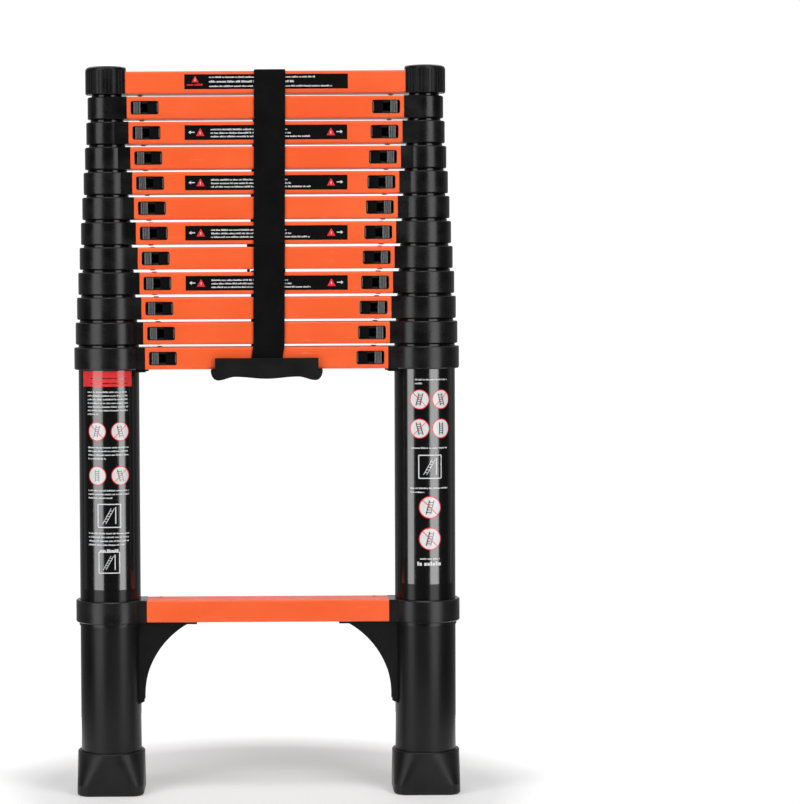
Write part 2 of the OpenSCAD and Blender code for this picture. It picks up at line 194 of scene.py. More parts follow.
def orange_look():
    """Satin orange coat on extruded aluminium: soft colour drift, orange peel and fine scuffs."""
    look = Look("coat_orange", {"Coat Weight": 0.3, "Coat Roughness": 0.2, "Specular IOR Level": 0.35})
    drift = look.noise(9, (1, 1, 2))
    base = look.blend(look.remap(drift, 0.3, 0.7, 0, 1), (0.87, 0.104, 0.0205), (0.91, 0.130, 0.033))
    scuffs = look.noise(260, (0.12, 1, 1), 5)
    pale = look.remap(scuffs, 0.66, 0.8, 0, 0.25)
    look.colour(look.blend(pale, base, (0.95, 0.38, 0.24)))
    look.roughness(look.remap(look.noise(40), 0.3, 0.7, 0.34, 0.46))
    look.bump(look.noise(900, detail=2), 0.00006, 0.35)
    look.bump(look.noise(160, (0.05, 1, 1), 4), 0.00005, 0.3)
    return look.material


def plastic_look(name, dark, light, rough=(0.36, 0.52), grain=0.35, level=0.5):
    """Black moulded plastic: fine grain, faint flow marks and handling smudges."""
    look = Look(name, {"Specular IOR Level": level})
    smudge = look.noise(26, (1, 1, 1.6), 5)
    look.colour(look.blend(look.remap(smudge, 0.35, 0.7, 0, 1), dark, light))
    look.roughness(look.remap(smudge, 0.3, 0.7, *rough))
    look.bump(look.noise(1500, detail=2), 0.00008, grain)
    look.bump(look.noise(70, (1, 1, 0.4), 2), 0.0002, 0.12)
    return look.material


def stile_look(name, axis_x, tube_r, rung_half, level):
    """Satin tube within tube_r of the rail's axis, moulded plastic outside it, and painted shade, darker and
    duller, where the collar runs inside the rung.
    """
    look = Look(name, {"Specular IOR Level": level})
    beside = look.maths("SUBTRACT", look.maths("ABSOLUTE", look.axis("X")), axis_x)
    out = look.radius(beside, look.axis("Y"))
    plastic = look.remap(out, tube_r + 0.1 * MM, tube_r + 0.3 * MM, 0, 1)
    smudge = look.noise(26, (1, 1, 1.6), 5)
    smooth = look.remap(smudge, 0.35, 0.7, 0, 1)
    moulded = look.blend(smooth, BLACK, SOOT)
    sideways = look.maths("ABSOLUTE", look.axis("X"))
    # Painted shade: inside the rung the collar is darkened as if in the rung's shade, and made rougher.
    painted_shade_in_rung = look.remap(sideways, rung_half - 1.2 * MM, rung_half - 0.8 * MM, 1, 0)
    seen = look.blend(plastic, (0.004, 0.004, 0.0045), moulded)
    look.colour(look.blend(painted_shade_in_rung, seen, (0.0015, 0.0012, 0.0025)))
    streaks = look.noise(700, (1, 1, 0.01), 3)
    metal_rough = look.remap(streaks, 0.3, 0.7, 0.13, 0.2)
    mixed = look.maths("ADD", look.maths("MULTIPLY", plastic, look.remap(smudge, 0.3, 0.7, 0.22, 0.33)),
                       look.maths("MULTIPLY", look.maths("SUBTRACT", 1.0, plastic), metal_rough))
    look.roughness(look.maths("ADD", mixed, look.maths("MULTIPLY", painted_shade_in_rung, 0.4)))
    look.bump(look.noise(1500, detail=2), 0.00008, look.maths("MULTIPLY", plastic, 0.35))
    look.bump(streaks, 0.00004, look.maths("SUBTRACT", 0.3, look.maths("MULTIPLY", plastic, 0.3)))
    return look.material


def tube_look():
    """Satin black base tube with fine vertical draw lines, duller below the bottom rung."""
    look = Look("coat_tube", {"Specular IOR Level": 0.27})
    low = look.remap(look.axis("Z"), bottom_rung_z() - 5 * MM, bottom_rung_z(), 0.1, 0)
    streaks = look.noise(600, (1, 1, 0.012), 4)
    smudge = look.noise(18, (1, 1, 0.5), 4)
    cloudy = look.remap(smudge, 0.3, 0.7, 0, 1)
    look.colour(look.blend(cloudy, COAT_BLACK, COAT_GREY))
    drawn = look.remap(streaks, 0.3, 0.7, 0.16, 0.23)
    rough = look.maths("ADD", drawn, look.remap(smudge, 0.3, 0.8, 0, 0.05))
    look.roughness(look.maths("ADD", rough, low))
    look.bump(streaks, 0.00005, 0.35)
    return look.material


def rubber_look():
    """Black rubber with a dry bloom and fine pits."""
    look = Look("rubber_black", {"Specular IOR Level": 0.28})
    bloom = look.noise(34, (1, 1, 0.7), 6)
    look.colour(look.blend(look.remap(bloom, 0.4, 0.75, 0, 1), (0.004, 0.004, 0.0045), (0.011, 0.011, 0.012)))
    look.roughness(look.remap(bloom, 0.3, 0.7, 0.32, 0.46))
    look.bump(look.noise(1100, detail=3), 0.00012, 0.4)
    return look.material


def powder_look():
    """Powder-coated bracket."""
    look = Look("coat_powder", {"Specular IOR Level": 0.14})
    look.colour(look.blend(look.noise(60), COAT_BLACK, COAT_GREY))
    look.roughness(look.remap(look.noise(90), 0.3, 0.7, 0.42, 0.56))
    look.bump(look.noise(1300, detail=2), 0.0001, 0.5)
    return look.material


def metal_look(name, colour, rough):
    look = Look(name, {"Metallic": 1.0})
    look.colour(look.blend(look.noise(700, detail=4), colour, [0.8 * c for c in colour]))
    look.roughness(look.remap(look.noise(900), 0.3, 0.7, rough - 0.06, rough + 0.08))
    look.bump(look.noise(1800), 0.00003, 0.3)
    return look.material


def latch_look():
    """Grey thumb pad, pale at its front face and darkened behind it as painted shade in the slot, rubbed
    paler in spots, with the steel lock pin behind it.
    """
    look = Look("latch_grey", {"Specular IOR Level": 0.5})
    steel = look.remap(look.axis("Y"), -9 * MM, -8 * MM, 0, 1)
    # Painted shade: behind its front face the pad is dark, as in the slot's shade.
    pad_front_over_shade = look.remap(look.axis("Y"), -22.3 * MM, -21.6 * MM, 1, 0)
    pad = look.blend(pad_front_over_shade, (0.02, 0.02, 0.022), (0.12, 0.117, 0.12))
    rubbed = look.blend(look.remap(look.noise(420, detail=5), 0.45, 0.7, 0, 0.5), pad, (0.2, 0.195, 0.2))
    look.colour(look.blend(steel, rubbed, (0.45, 0.45, 0.47)))
    look.put(look.surface.inputs["Metallic"], steel)
    look.roughness(look.remap(look.noise(300), 0.3, 0.7, 0.32, 0.45))
    look.bump(look.noise(1500), 0.00006, 0.3)
    return look.material


def webbing_look():
    """Black polypropylene webbing: cords along the band, crossed by the weft, with stray fibres."""
    look = Look("webbing_black", {"Specular IOR Level": 0.04, "Sheen Weight": 0.01, "Sheen Roughness": 0.45})
    cord = look.maths("SINE", look.maths("MULTIPLY", look.axis("X"), 2 * math.pi / (1.25 * MM)))
    ribs = look.maths("SINE", look.maths("MULTIPLY", look.axis("Z"), 2 * math.pi / (0.95 * MM)))
    weave = look.maths("MULTIPLY", cord, ribs)
    fibres = look.noise(2600, (1, 1, 0.35), 3)
    fade = look.noise(55, (1, 1, 0.6), 4)
    base = look.blend(look.remap(fade, 0.35, 0.7, 0, 1), (0.0022, 0.0020, 0.0024), (0.0045, 0.0042, 0.0048))
    look.colour(look.blend(look.remap(weave, -1, 1, 0, 0.5), base, (0.008, 0.008, 0.0085)))
    look.roughness(look.remap(fibres, 0.3, 0.7, 0.5, 0.8))
    look.bump(weave, 0.00012, 0.7)
    look.bump(fibres, 0.0001, 0.5)
    return look.material


def print_look(name, colour, values):
    """Sticker film or print, a little uneven where it was rolled on."""
    look = Look(name, values)
    look.colour(look.blend(look.noise(120), colour, [0.86 * c for c in colour]))
    look.roughness(look.remap(look.noise(60, detail=2), 0.3, 0.7, 0.12, 0.2))
    look.bump(look.noise(45, detail=2), 0.0001, 0.06)
    return look.material


looks = {
    "foot_rubber": rubber_look(),
    "tube_black": tube_look(),
    "collar_plastic": plastic_look("plastic_collar", BLACK, SOOT, (0.24, 0.35), 0.3, 0.4),
    "bracket_black": powder_look(),
    "rivet_metal": metal_look("metal_rivet", (0.42, 0.42, 0.44), 0.34),
    "handle_plastic": plastic_look("plastic_handle", GRIP_BLACK, SOOT, (0.42, 0.6), 0.5, 0.14),
    "webbing": webbing_look(),
    "buckle_plastic": plastic_look("plastic_buckle", GRIP_BLACK, SOOT, (0.28, 0.4), 0.2),
    "rung_orange": orange_look(),
    "latch_grey": latch_look(),
    "label_film": print_look("print_film", FILM_BLACK,
                             {"Coat Weight": 1.0, "Coat Roughness": 0.13, "Coat IOR": 1.75}),
    "label_white": print_look("print_white", (0.72, 0.72, 0.73), {"Specular IOR Level": 0.4}),
    "label_red": print_look("print_red", (0.8, 0.04, 0.045), {"Specular IOR Level": 0.6}),
    "thread": plastic_look("thread_black", (0.008, 0.008, 0.009), (0.018, 0.018, 0.019), (0.4, 0.55), 0.6),
}


def paint_frame():
    slots = {row["node"]: row["material_slot"] for row in frame["record"]["subparts"]}
    for name, node in nodes.items():
        material = looks.get(slots[name])
        if name.startswith("stiles") or name == "collars_02":
            k = int(name[-2:])
            axis_x, collar_r = collar_size(k)
            tube_r = collar_r - COLLAR_WALL if k < TOP else TOP_TUBE_R
            level = 0.4 if k < TOP else 0.2
            rung_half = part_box(f"rung_{two(k)}")[1].x
            material = stile_look(f"stile_{two(k)}", axis_x, tube_r, rung_half, level)
        for i in range(len(node.material_slots)):
            node.material_slots[i].material = material


# ---- Meshes ----


def make_piece(name, verts, faces, slot_name, body, smooth=True):
    """A closed mesh that rides on a body."""
    mesh = bpy.data.meshes.new(name)
    mesh.from_pydata(verts, [], faces)
    shape = bmesh.new()
    shape.from_mesh(mesh)
    bmesh.ops.recalc_face_normals(shape, faces=shape.faces)
    shape.to_mesh(mesh)
    shape.free()
    if smooth:
        mesh.shade_smooth()
        mesh.set_sharp_from_angle(angle=math.radians(40))
    mesh.materials.append(looks[slot_name])
    piece = bpy.data.objects.new(name, mesh)
    bpy.context.scene.collection.objects.link(piece)
    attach(piece, body)
    return piece


class Sheets:
    """Collects thin closed slabs that lie on a surface. place(u, v, h) gives a point at height h over it."""

    def __init__(self, place):
        self.place = place
        self.verts = []
        self.faces = []

    def slab(self, grid, low, high, ring=False):
        """A slab over a grid of (u, v) points. A ring's last row joins its first."""
        rows, cols = len(grid), len(grid[0])
        start = len(self.verts)
        for height in (low, high):
            self.verts += [self.place(u, v, height) for row in grid for u, v in row]

        def at(layer, i, j):
            return start + (layer * rows + i % rows) * cols + j

        spans = rows if ring else rows - 1
        for i in range(spans):
            for j in range(cols - 1):
                quad = [(i, j), (i + 1, j), (i + 1, j + 1), (i, j + 1)]
                self.faces.append([at(1, *p) for p in quad])
                self.faces.append([at(0, *p) for p in reversed(quad)])
            for j in (0, cols - 1):
                self.faces.append([at(0, i, j), at(0, i + 1, j), at(1, i + 1, j), at(1, i, j)])
        if ring:
            return
        for j in range(cols - 1):
            for i in (0, rows - 1):
                self.faces.append([at(0, i, j), at(0, i, j + 1), at(1, i, j + 1), at(1, i, j)])

    def quad(self, corners, low, high, rows=2, cols=2):
        """A four-cornered slab. Corners run round it from the lower left."""
        a, b, c, d = [Vector(p) for p in corners]
        grid = []
        for i in range(rows):
            s = i / (rows - 1)
            shares = [j / (cols - 1) for j in range(cols)]
            grid.append([tuple(a.lerp(d, t).lerp(b.lerp(c, t), s)) for t in shares])
        self.slab(grid, low, high)

    def rect(self, u0, u1, v0, v1, low, high, step=3 * MM):
        rows = max(2, 1 + math.ceil((u1 - u0) / step))
        self.quad([(u0, v0), (u1, v0), (u1, v1), (u0, v1)], low, high, rows)

    def disc(self, u, v, r, low, high, count=14):
        """A square grid pulled out to a circle."""
        grid = []
        for i in range(count + 1):
            x = 2 * i / count - 1
            row = []
            for j in range(count + 1):
                y = 2 * j / count - 1
                row.append((u + r * x * math.sqrt(1 - y * y / 2), v + r * y * math.sqrt(1 - x * x / 2)))
            grid.append(row)
        self.slab(grid, low, high)

    def hoop(self, u, v, inner, outer, low, high, count=40):
        turns = [2 * math.pi * i / count for i in range(count)]
        grid = [[(u + r * math.cos(a), v + r * math.sin(a)) for r in (inner, outer)] for a in turns]
        self.slab(grid, low, high, ring=True)

    def bar(self, start, end, width, low, high, parts=6):
        """A straight bar of some width from one (u, v) point to another."""
        a, b = Vector(start), Vector(end)
        side = Vector((a.y - b.y, b.x - a.x)).normalized() * width / 2
        self.quad([a - side, b - side, b + side, a + side], low, high, parts)

    def piece(self, name, slot_name, body):
        return make_piece(name, self.verts, self.faces, slot_name, body, smooth=False)


# ---- Stickers ----

LEG_STICKER_TURN = {"left": 2.7 * MM, "right": 0.0}
FILM_LOW, FILM_HIGH = -0.04 * MM, 0.13 * MM
PRINT_LOW, PRINT_HIGH = 0.09 * MM, 0.19 * MM
OVER_LOW, OVER_HIGH = 0.15 * MM, 0.24 * MM


def flat_front(centre):
    """Places (u, v) on a flat face that looks forward."""
    return lambda u, v, h: (centre.x + u, centre.y - h, centre.z + v)


def round_front(axis_x, radius, low_z):
    """Places (u, v) on the front of a tube, where u is measured round the tube."""
    def place(u, v, h):
        turn = u / radius
        r = radius + h
        return (axis_x + r * math.sin(turn), -r * math.cos(turn), low_z + v)
    return place


def greek_line(sheets, u0, u1, v, height, draw, heights=(PRINT_LOW, PRINT_HIGH)):
    """A line of small blocks in word-like groups, which says nothing."""
    u = u0
    while u < u1 - 0.5 * height:
        for _ in range(draw.randint(2, 8)):
            wide = height * draw.uniform(0.35, 0.75)
            tall = height * draw.choice((0.72, 0.72, 1.0))
            if u + wide > u1:
                return
            sheets.quad([(u, v), (u + wide, v), (u + wide, v + tall), (u, v + tall)], *heights)
            u += wide + 0.16 * height
        u += 0.45 * height


def triangle(sheets, u, v, half, low, high):
    """A triangle on a base through (u, v), with its tip cut a little flat."""
    tip = 0.08 * half
    rise = 1.75 * half
    sheets.quad([(u - half, v), (u + half, v), (u + tip, v + rise), (u - tip, v + rise)], low, high)


def arrow(sheets, u, v, way):
    """A small arrow centred on (u, v) that points along way, +1 or -1."""
    half, head = 3.6 * MM, 2.6 * MM
    tip, back = u + way * half, u + way * (half - head)
    u0, u1 = sorted((u - way * half, back))
    sheets.rect(u0, u1, v - 0.55 * MM, v + 0.55 * MM, PRINT_LOW, PRINT_HIGH)
    corners = [(back, v - 2 * MM), (tip, v - 0.15 * MM), (tip, v + 0.15 * MM), (back, v + 2 * MM)]
    sheets.quad(corners if way > 0 else corners[::-1], PRINT_LOW, PRINT_HIGH)


def rung_sticker(k, draw):
    """The black sticker on every other rung: lines between two triangles and two arrows."""
    film, white, red = (Sheets(flat_front(rung_front(k))) for _ in range(3))
    film.rect(-95 * MM, 96 * MM, -8.6 * MM, 8.6 * MM, FILM_LOW, FILM_HIGH, 30 * MM)
    for way in (-1, 1):
        middle = way * 76.8 * MM
        arrow(white, way * 87 * MM, 0.3 * MM, way)
        triangle(red, middle, -4 * MM, 4.9 * MM, PRINT_LOW, PRINT_HIGH)
        white.rect(middle - 0.4 * MM, middle + 0.4 * MM, -2 * MM, 1.2 * MM, OVER_LOW, OVER_HIGH)
    for row, end in ((1, 26), (0, 30), (-1, 53)):
        greek_line(white, -64.5 * MM, end * MM, (row * 4.1 - 1.5) * MM, 1.9 * MM, draw)
    dress_sticker(f"sticker_rung_{two(k)}", film, white, red, section_body(k))


def top_sticker(draw):
    """The sticker on the top rung: one triangle with a bar under it, and three lines."""
    k = TOP
    film, white, red = (Sheets(flat_front(rung_front(k))) for _ in range(3))
    film.rect(-95 * MM, 97 * MM, -8.2 * MM, 9.2 * MM, FILM_LOW, FILM_HIGH, 30 * MM)
    triangle(red, -82.4 * MM, -0.1 * MM, 4.1 * MM, PRINT_LOW, PRINT_HIGH)
    white.rect(-82.8 * MM, -82 * MM, 1.5 * MM, 4.1 * MM, OVER_LOW, OVER_HIGH)
    greek_line(red, -92 * MM, -72 * MM, -4.1 * MM, 2.5 * MM, draw)
    for v, start, end, tall in ((4.9, -66, 60, 1.9), (-0.6, -66, 34, 2.5), (-5.7, -66, 79, 1.9)):
        greek_line(white, start * MM, end * MM, v * MM, tall * MM, draw)
    dress_sticker(f"sticker_rung_{two(k)}", film, white, red, section_body(k))


def dress_sticker(name, film, white, red, body):
    film.piece(f"{name}_film", "label_film", body)
    white.piece(f"{name}_white", "label_white", body)
    red.piece(f"{name}_red", "label_red", body)


def ladder_mark(sheets, u, v, r, lean):
    """A tiny ladder inside a round mark, leaning to one side."""
    across, tall = 0.2 * r, 0.62 * r
    for side in (-1, 1):
        sheets.bar((u - lean * tall + side * across, v - tall), (u + lean * tall + side * across, v + tall),
                   0.09 * r, OVER_LOW, OVER_HIGH, 3)
    for i in range(5):
        t = -0.72 + 0.36 * i
        middle = u + lean * tall * t
        height = v + t * tall
        sheets.bar((middle - across, height), (middle + across, height), 0.07 * r, OVER_LOW, OVER_HIGH, 3)


def round_mark(white, red, black, u, v, r, slash):
    """A white disc with a red rim, a slash or none, and a ladder."""
    white.disc(u, v, r, PRINT_LOW, PRINT_HIGH)
    red.hoop(u, v, 0.92 * r, 1.01 * r, OVER_LOW, OVER_HIGH + 0.02 * MM)
    ladder_mark(black, u, v, r, 0.25 * slash)
    if slash:
        reach = 0.68 * r
        red.bar((u - reach, v + slash * reach), (u + reach, v - slash * reach), 0.07 * r,
                OVER_LOW + 0.02 * MM, OVER_HIGH + 0.05 * MM)


def box_mark(white, u, v, half):
    """A square outline round a leaning ladder against a wall."""
    edge = 0.045 * half

    def line(u0, v0, u1, v1, width, parts):
        start, end = (u + u0 * half, v + v0 * half), (u + u1 * half, v + v1 * half)
        white.bar(start, end, width, PRINT_LOW, PRINT_HIGH, parts)

    for side in (-1, 1):
        line(-1, side, 1, side, 2 * edge, 8)
        line(side, -1, side, 1, 2 * edge, 3)
    line(0.55, -0.7, 0.55, 0.75, 2 * edge, 3)
    for shift in (-0.14, 0.14):
        line(-0.45 + shift, -0.7, 0.3 + shift, 0.65, edge, 5)
    for i in range(5):
        t = 0.15 + 0.17 * i
        middle, height = -0.45 + 0.75 * t, -0.7 + 1.35 * t
        line(middle - 0.14, height, middle + 0.14, height, edge, 3)


def leg_sticker(side, draw):
    """The tall sticker on a base tube. Heights are from the middle of the bottom rung."""
    low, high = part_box(f"base_tube_{side}")
    axis_x, radius = (low.x + high.x) / 2, (high.x - low.x) / 2
    turned = LEG_STICKER_TURN[side]
    front = round_front(axis_x, radius, bottom_rung_z())
    film, white, red, black = (Sheets(lambda u, v, h: front(u + turned, v, h)) for _ in range(4))
    if side == "left":
        film.rect(-37 * MM, 33 * MM, 27.5 * MM, 286.3 * MM, FILM_LOW, FILM_HIGH, 1.6 * MM)
        left_marks(white, red, black, draw)
    else:
        film.rect(-33 * MM, 37 * MM, 32.5 * MM, 286.3 * MM, FILM_LOW, FILM_HIGH, 1.6 * MM)
        right_marks(white, red, black, draw)
    dress_sticker(f"sticker_leg_{side}", film, white, red, "base")
    black.piece(f"sticker_leg_{side}_black", "label_film", "base")


def text_block(sheets, rows, start, end, short_end, draw, height=1.8 * MM):
    """Lines of blocks with their middles at the given heights. The last one is short."""
    for v in rows:
        stop = short_end if v == rows[-1] else end
        greek_line(sheets, start * MM, stop * MM, v * MM - height / 2, height, draw)


def left_marks(white, red, black, draw):
    red.rect(-36 * MM, 29.2 * MM, 267.6 * MM, 285.8 * MM, PRINT_LOW, PRINT_HIGH, 2 * MM)
    for v in (277.4, 271.5):
        greek_line(black, -24 * MM, 22 * MM, (v - 0.8) * MM, 1.6 * MM, draw, (OVER_LOW, OVER_HIGH))
    text_block(white, [261.3 - 4.35 * i for i in range(7)], -28.3, 23, -12, draw)
    text_block(white, [196, 191.7, 187.3, 182.8], -28, 23.5, -4, draw)
    text_block(white, [145.3, 140.9, 136.5], -28, 24, 3, draw)
    text_block(white, [94.7, 90.3, 85.7, 81.1], -28, 24, 18, draw)
    for v in (214.8, 162.7):
        round_mark(white, red, black, -15.8 * MM, v * MM, 11.2 * MM, 1 if v > 200 else 0)
        round_mark(white, red, black, 12.5 * MM, v * MM, 11.2 * MM, -1)
    box_mark(white, -1.3 * MM, 115.4 * MM, 13.6 * MM)
    greek_line(white, -13 * MM, 11 * MM, 73.2 * MM, 2.8 * MM, draw)
    box_mark(white, -1.8 * MM, 60.2 * MM, 12.4 * MM)


def right_marks(white, red, black, draw):
    text_block(white, [274.1, 269.7], -14, 28, -5, draw)
    text_block(white, [193.6], -18.6, 27.6, 27.6, draw)
    text_block(white, [146.2, 141.5], -20, 28, -2, draw)
    for v in (250.7, 216.4):
        round_mark(white, red, black, -8.3 * MM, v * MM, 11.6 * MM, 1 if v > 230 else -1)
        round_mark(white, red, black, 18 * MM, v * MM, 11.4 * MM, -1 if v > 230 else 0)
    box_mark(white, 4.3 * MM, 171.4 * MM, 13.6 * MM)
    for v in (123.5, 86.4):
        round_mark(white, red, black, 3.9 * MM, v * MM, 13.2 * MM, 1)
    greek_line(white, -8.2 * MM, 16 * MM, 61.8 * MM, 2.1 * MM, draw)
    greek_line(white, -11.4 * MM, 19 * MM, 54.6 * MM, 4.8 * MM, draw)


# ---- Moulded marks ----

SLOT_FROM_END = 21 * MM
SLOT_HALF_LONG = 15.6 * MM
SLOT_HALF_TALL = 7.3 * MM
PAD_REACH = 3.5 * MM

def arch_marks(k):
    """A raised arch on the front of each collar of a section."""
    axis_x, radius = collar_size(k)
    middle = rung_front(k).z
    points = [(-4.1, -5.4), (-4.1, 1.2)]
    turns = [math.pi * i / 12 for i in range(11, 0, -1)]
    points += [(4.1 * math.cos(a), 1.2 + 4.1 * math.sin(a)) for a in turns]
    points += [(4.1, 1.2), (4.1, -5.4)]
    wide = 0.45
    verts, faces = [], []
    for side in (-1, 1):
        sheets = Sheets(round_front(side * axis_x, radius, middle))
        grid = []
        for i, (u, v) in enumerate(points):
            a = Vector(points[max(i - 1, 0)])
            b = Vector(points[min(i + 1, len(points) - 1)])
            across = Vector((a.y - b.y, b.x - a.x)).normalized() * wide
            edges = [(u + way * across.x, v + way * across.y) for way in (1, -1)]
            grid.append([(p * MM, q * MM) for p, q in edges])
        sheets.slab(grid, -0.1 * MM, 0.3 * MM)
        start = len(verts)
        verts += sheets.verts
        faces += [[start + i for i in face] for face in sheets.faces]
    make_piece(f"collar_mark_{two(k)}", verts, faces, "collar_plastic", section_body(k), smooth=False)


def oblong(half_u, half_v, corner, centre_u):
    """Points round a rectangle with rounded corners, starting at the lower right."""
    points = []
    for turn, (su, sv) in enumerate(((1, -1), (1, 1), (-1, 1), (-1, -1))):
        for i in range(5):
            a = math.radians(90 * (turn - 1) + 22.5 * i)
            points.append((centre_u + su * (half_u - corner) + corner * math.cos(a),
                           sv * (half_v - corner) + corner * math.sin(a)))
    return points


def slot_trims(k):
    """A black rim round each latch slot, a pale strip at its inner end as a painted highlight, and a dark
    sheet beside the pad as painted shade in the slot.
    """
    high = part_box(f"rung_{two(k)}")[1]
    place = flat_front(rung_front(k))
    rims, highlight_strips, shade_sheets = Sheets(place), Sheets(place), Sheets(place)
    for side in (-1, 1):
        middle = side * (high.x - SLOT_FROM_END)
        inner = oblong(SLOT_HALF_LONG, SLOT_HALF_TALL, 1.7 * MM, middle)
        outer = oblong(16.3 * MM, 7.9 * MM, 2.3 * MM, middle)
        rims.slab([list(pair) for pair in zip(inner, outer)], -1.2 * MM, 0.25 * MM, ring=True)
        end = middle - side * 15 * MM
        # Painted highlight: a pale strip at the slot's inner end, standing for a reflection there.
        highlight_strips.rect(end - 0.55 * MM, end + 0.55 * MM, -5.6 * MM, 5.6 * MM, -1 * MM, 0.1 * MM)
        u0, u1 = sorted((middle - side * SLOT_HALF_LONG, middle - side * PAD_REACH))
        # Painted shade: a dark sheet in the slot beside the pad, standing for the shade in the slot.
        shade_sheets.rect(u0, u1, -SLOT_HALF_TALL, SLOT_HALF_TALL, -2.1 * MM, -1.7 * MM)
    rims.piece(f"slot_rims_{two(k)}", "handle_plastic", section_body(k))
    highlight_strips.piece(f"slot_stops_{two(k)}", "latch_grey", section_body(k))
    shade_sheets.piece(f"slot_inserts_{two(k)}", "webbing", section_body(k))


def handle_ribs():
    """Raised ribs that fan out below the strap on the front of the handle."""
    low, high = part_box("handle")
    front = Vector(((low.x + high.x) / 2, low.y, high.z))
    sheets = Sheets(flat_front(front))
    for i in range(-4, 5):
        top, foot = i * 4.4 * MM, i * 3.4 * MM
        sheets.bar((foot, -9 * MM), (top, -2.5 * MM), 0.9 * MM, -0.1 * MM, 0.35 * MM, 3)
    sheets.piece("handle_ribs", "handle_plastic", "base")


# ---- Webbing ----


def arc(centre, radius, start, end, count):
    """Points on an arc in the (y, z) plane, with angles in degrees."""
    turns = [math.radians(start + (end - start) * i / count) for i in range(count + 1)]
    return [(centre[0] + radius * math.cos(a), centre[1] + radius * math.sin(a)) for a in turns]


def resample(points, step):
    """The same line with evenly spaced points, as (y, z, distance along it)."""
    lengths = [0.0]
    for a, b in zip(points, points[1:]):
        lengths.append(lengths[-1] + math.dist(a, b))
    count = math.ceil(lengths[-1] / step)
    made, i = [], 0
    for n in range(count + 1):
        s = lengths[-1] * n / count
        while i < len(lengths) - 2 and lengths[i + 1] < s:
            i += 1
        t = (s - lengths[i]) / max(lengths[i + 1] - lengths[i], 1e-9)
        made.append((points[i][0] + t * (points[i + 1][0] - points[i][0]),
                     points[i][1] + t * (points[i + 1][1] - points[i][1]), s))
    return made


def lean(y, z):
    """How far the strap has slid sideways: a little where it leaves handle and buckle, more at the top."""
    start = LEAN_START + LEAN_BEND if y < 0 else LEAN_START_BACK
    share = min(max((z - start) / (CROWN_Z - start), 0), 1)
    if y > 0:
        return 5.2 * MM * share
    bend = min(max((z - LEAN_START) / LEAN_BEND, 0), 1)
    return (0.6 + 2.2 * bend * bend * (3 - 2 * bend) + 2.4 * share) * MM


def webbing(name, points, width, body, node):
    """A woven band that follows a line in the (y, z) plane, with ribs across it and rounded selvedges."""
    line = resample(points, 0.475 * MM)
    half, across, rib = width / 2, 14, 1.9 * MM
    verts, faces = [], []
    for i, (y, z, s) in enumerate(line):
        a, b = line[max(i - 1, 0)], line[min(i + 1, len(line) - 1)]
        run = Vector((b[0] - a[0], b[1] - a[1])).normalized()
        out = (-run.y, run.x)
        wave = math.cos(2 * math.pi * s / rib)
        ring = []
        for layer in (1, -1):
            for j in range(across + 1):
                x = -math.cos(math.pi * j / across) * layer
                edge = half - 0.14 * MM * (1 - wave) / 2
                rounding = (1 - abs(x) ** 10) ** 0.5
                lift = layer * (WEB_THICK / 2 * (0.35 + 0.65 * rounding) + 0.06 * MM * wave * rounding)
                ring.append((x * edge + lean(y, z), y + lift * out[0], z + lift * out[1]))
        verts += ring
    count = 2 * (across + 1)
    for i in range(len(line) - 1):
        for j in range(count):
            nxt = (j + 1) % count
            faces.append([i * count + j, i * count + nxt, (i + 1) * count + nxt, (i + 1) * count + j])
    faces.append(list(range(count)))
    faces.append([(len(line) - 1) * count + j for j in reversed(range(count))])
    band = make_piece(name, verts, faces, "webbing", body)
    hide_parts(node)
    return band


# Place along a stitch from -1 to 1, then radius and height of the ring there in millimetres.
STITCH_RINGS = ((-1, 0.05, 0), (-0.6, 0.25, 0.16), (0, 0.3, 0.24), (0.6, 0.25, 0.16), (1, 0.05, 0))


def stitches(name, y, z_low, z_high, half_width, body):
    """A sewn box with a cross in it, each stitch a small raised lozenge on a face that looks back."""
    corners = [(-half_width, z_low), (half_width, z_low), (half_width, z_high), (-half_width, z_high)]
    runs = list(zip(corners, corners[1:] + corners[:1]))
    runs += [(corners[0], corners[2]), (corners[1], corners[3])]
    verts, faces = [], []
    for start, end in runs:
        a, b = Vector(start), Vector(end)
        count = max(3, round((b - a).length / (2.6 * MM)))
        step = (b - a) / count
        along = step.normalized()
        side = Vector((-along.y, along.x))
        for n in range(count):
            middle = a + step * (n + 0.5)
            base = len(verts)
            for t, w, h in STITCH_RINGS:
                centre = middle + along * t * 0.44 * step.length
                for turn in range(6):
                    angle = 2 * math.pi * turn / 6
                    p = centre + side * w * MM * math.cos(angle)
                    verts.append((p.x, y + (h - 0.1) * MM + w * MM * 0.6 * math.sin(angle), p.y))
            for i in range(4):
                for j in range(6):
                    nxt = (j + 1) % 6
                    lower, upper = base + i * 6, base + (i + 1) * 6
                    faces.append([lower + j, lower + nxt, upper + nxt, upper + j])
            faces.append([base + j for j in range(6)])
            faces.append([base + 24 + j for j in reversed(range(6))])
    make_piece(name, verts, faces, "thread", body)


def bar_loop(inner_y, bar_out_y, return_y, low, high, end, up):
    """The webbing's way round a buckle's bar between heights low and high, then back along itself to end."""
    r = 1.7 * MM
    half = WEB_THICK / 2 + 0.15 * MM
    out_y = bar_out_y + half
    below = low - up * half
    above = high + up * 2.4 * MM
    points = arc((inner_y + r, below + up * r), r, 180, 180 + up * 90, 6)
    points += arc((out_y - r, below + up * r), r, -up * 90, 0, 6)
    points += [(out_y, high)]
    points += arc((out_y - r, high + up * 0.2 * MM), r, 0, up * 60, 5)
    points += [(return_y + 0.9 * MM, above + up * 1.6 * MM), (return_y, above + up * 4 * MM), (return_y, end)]
    return points


